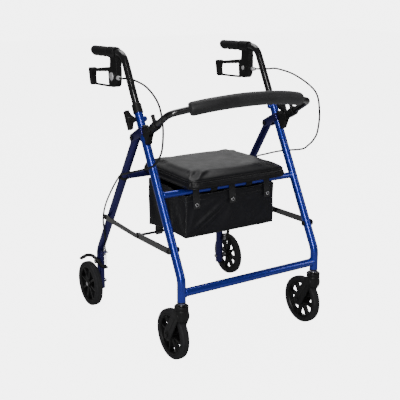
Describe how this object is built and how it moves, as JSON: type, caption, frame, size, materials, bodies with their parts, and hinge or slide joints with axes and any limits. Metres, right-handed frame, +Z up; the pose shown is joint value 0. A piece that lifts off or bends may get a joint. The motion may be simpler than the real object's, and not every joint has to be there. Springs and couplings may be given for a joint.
{
  "type": "rollator walker",
  "caption": "Folding wheeled rollator walker with a padded seat, curved padded backrest, loop-lever brakes, swivel front casters and a storage bag under the seat.",
  "frame": {"origin": "Centre of the footprint, on the floor: halfway between the walker's sides and halfway from the front of the casters to the back of the rear wheels.", "axes": "+Z up, -Y the walking direction (casters and backrest are at -Y, the user walks at +Y), +X to the left hand of the user."},
  "size_m": [0.5968, 0.637, 0.874],
  "materials": {
    "frame_blue": "metallic blue powder coat, glossy",
    "black_tube": "gloss black",
    "black_plastic": "matte moulded",
    "tyre_grey": "matte",
    "vinyl": "soft vinyl with a fine grain",
    "nylon": "woven nylon",
    "foam": "closed-cell foam with a smooth skin",
    "zinc": "zinc plated"
  },
  "bodies": {
    "front_frame": {"front_frame": "frame_blue", "storage_bag": "nylon", "leg_collar_left": "black_plastic", "leg_collar_right": "black_plastic", "backrest_receiver_left": "black_plastic", "backrest_receiver_right": "black_plastic", "height_bolt_left": "zinc", "height_bolt_right": "zinc"},
    "rear_frame": {"rear_frame": "frame_blue", "frame_pivot_bolt_left": "black_plastic", "frame_pivot_bolt_right": "black_plastic", "rear_axle_left": "zinc", "rear_axle_right": "zinc", "brake_spring_left": "zinc", "brake_spring_right": "zinc", "cable_adjuster_left": "zinc", "cable_adjuster_right": "zinc", "brake_cable_left": "black_plastic", "brake_cable_right": "black_plastic"},
    "brace_front": {"brace_cross_rod": "black_tube", "brace_front_link_left": "black_plastic", "brace_front_link_right": "black_plastic"},
    "brace_rear": {"brace_rear_link_left": "black_plastic", "brace_rear_link_right": "black_plastic"},
    "seat": {"seat_base": "black_plastic", "seat_cushion": "vinyl"},
    "backrest": {"backrest_tube": "black_tube", "backrest_pad": "foam", "backrest_socket_left": "black_plastic", "backrest_socket_right": "black_plastic"},
    "rear_wheel_left": {"rear_tyre_left": "tyre_grey", "rear_rim_left": "black_plastic"},
    "caster_left": {"caster_fork_left": "black_plastic", "caster_stem_left": "zinc", "caster_axle_left": "zinc"},
    "caster_wheel_left": {"caster_tyre_left": "tyre_grey", "caster_rim_left": "black_plastic"},
    "handle_left": {"handle_tube_left": "black_tube", "hand_grip_left": "black_plastic", "brake_housing_left": "black_plastic", "lever_bolt_left": "zinc"},
    "brake_lever_left": {"brake_lever_left": "black_plastic"},
    "brake_arm_left": {"brake_arm_left": "black_plastic"},
    "height_knob_left": {"height_knob_left": "black_plastic"},
    "release_pin_left": {"release_pin_left": "black_plastic"},
    "rear_wheel_right": {"rear_tyre_right": "tyre_grey", "rear_rim_right": "black_plastic"},
    "caster_right": {"caster_fork_right": "black_plastic", "caster_stem_right": "zinc", "caster_axle_right": "zinc"},
    "caster_wheel_right": {"caster_tyre_right": "tyre_grey", "caster_rim_right": "black_plastic"},
    "handle_right": {"handle_tube_right": "black_tube", "hand_grip_right": "black_plastic", "brake_housing_right": "black_plastic", "lever_bolt_right": "zinc"},
    "brake_lever_right": {"brake_lever_right": "black_plastic"},
    "brake_arm_right": {"brake_arm_right": "black_plastic"},
    "height_knob_right": {"height_knob_right": "black_plastic"},
    "release_pin_right": {"release_pin_right": "black_plastic"}
  },
  "joints": [
    {"name": "frame_fold", "type": "hinge", "parent": "front_frame", "child": "rear_frame", "pos_m": [0, -0.03625, 0.6235], "axis": [-1, 0, 0], "range_deg": [0, 30], "deforming": ["storage_bag", "brake_cable_left", "brake_cable_right"]},
    {"name": "brace_front_fold", "type": "hinge", "parent": "front_frame", "child": "brace_front", "pos_m": [0, -0.24856, 0.336], "axis": [1, 0, 0], "range_deg": [0, 48]},
    {"name": "brace_rear_fold", "type": "hinge", "parent": "rear_frame", "child": "brace_rear", "pos_m": [0, 0.14946, 0.3335], "axis": [-1, 0, 0], "range_deg": [0, 35]},
    {"name": "seat_flip", "type": "hinge", "parent": "front_frame", "child": "seat", "pos_m": [0, -0.17181, 0.477], "axis": [1, 0, 0], "range_deg": [0, 75]},
    {"name": "backrest_fold", "type": "hinge", "parent": "front_frame", "child": "backrest", "pos_m": [0, -0.12163, 0.65643], "axis": [-1, 0, 0], "range_deg": [0, 72]},
    {"name": "release_pin_left", "type": "slide", "parent": "backrest", "child": "release_pin_left", "axis": [0, 0.5075, 0.8616], "range_m": [0, 0.0055], "stiffness_N_per_m": 300},
    {"name": "handle_height_left", "type": "slide", "parent": "front_frame", "child": "handle_left", "axis": [0, 0.4781, 0.8783], "range_m": [-0.0762, 0.0762], "deforming": ["brake_cable_left"]},
    {"name": "height_knob_left", "type": "hinge", "parent": "front_frame", "child": "height_knob_left", "pos_m": [-0.2438, -0.06029, 0.68187], "axis": [1, 0, 0], "continuous": true},
    {"name": "brake_lever_left", "type": "hinge", "parent": "handle_left", "child": "brake_lever_left", "pos_m": [-0.2438, 0.09575, 0.79], "axis": [1, 0, 0], "range_deg": [0, 12], "stiffness_Nm_per_rad": 2},
    {"name": "brake_arm_left", "type": "hinge", "parent": "rear_frame", "child": "brake_arm_left", "pos_m": [-0.2438, 0.23975, 0.152], "axis": [-1, 0, 0], "range_deg": [0, 14.5], "stiffness_Nm_per_rad": 1, "deforming": ["brake_spring_left"]},
    {"name": "rear_wheel_left", "type": "hinge", "parent": "rear_frame", "child": "rear_wheel_left", "pos_m": [-0.284, 0.24225, 0.0762], "axis": [1, 0, 0], "continuous": true},
    {"name": "caster_swivel_left", "type": "hinge", "parent": "front_frame", "child": "caster_left", "pos_m": [-0.2438, -0.29025, 0.19], "axis": [0, 0, 1], "continuous": true},
    {"name": "caster_wheel_left", "type": "hinge", "parent": "caster_left", "child": "caster_wheel_left", "pos_m": [-0.2438, -0.24225, 0.0762], "axis": [1, 0, 0], "continuous": true},
    {"name": "release_pin_right", "type": "slide", "parent": "backrest", "child": "release_pin_right", "axis": [0, 0.5075, 0.8616], "range_m": [0, 0.0055], "stiffness_N_per_m": 300},
    {"name": "handle_height_right", "type": "slide", "parent": "front_frame", "child": "handle_right", "axis": [0, 0.4781, 0.8783], "range_m": [-0.0762, 0.0762], "deforming": ["brake_cable_right"]},
    {"name": "height_knob_right", "type": "hinge", "parent": "front_frame", "child": "height_knob_right", "pos_m": [0.2438, -0.06029, 0.68187], "axis": [1, 0, 0], "continuous": true},
    {"name": "brake_lever_right", "type": "hinge", "parent": "handle_right", "child": "brake_lever_right", "pos_m": [0.2438, 0.09575, 0.79], "axis": [1, 0, 0], "range_deg": [0, 12], "stiffness_Nm_per_rad": 2},
    {"name": "brake_arm_right", "type": "hinge", "parent": "rear_frame", "child": "brake_arm_right", "pos_m": [0.2438, 0.23975, 0.152], "axis": [-1, 0, 0], "range_deg": [0, 14.5], "stiffness_Nm_per_rad": 1, "deforming": ["brake_spring_right"]},
    {"name": "rear_wheel_right", "type": "hinge", "parent": "rear_frame", "child": "rear_wheel_right", "pos_m": [0.284, 0.24225, 0.0762], "axis": [1, 0, 0], "continuous": true},
    {"name": "caster_swivel_right", "type": "hinge", "parent": "front_frame", "child": "caster_right", "pos_m": [0.2438, -0.29025, 0.19], "axis": [0, 0, 1], "continuous": true},
    {"name": "caster_wheel_right", "type": "hinge", "parent": "caster_right", "child": "caster_wheel_right", "pos_m": [0.2438, -0.24225, 0.0762], "axis": [1, 0, 0], "continuous": true}
  ],
  "couplings": [
    {"joint": "brace_front_fold", "follows": "frame_fold", "ratio": 1.564},
    {"joint": "brace_rear_fold", "follows": "frame_fold", "ratio": 1.128},
    {"joint": "brake_arm_left", "follows": "brake_lever_left", "ratio": 1.2},
    {"joint": "brake_arm_right", "follows": "brake_lever_right", "ratio": 1.2}
  ]
}
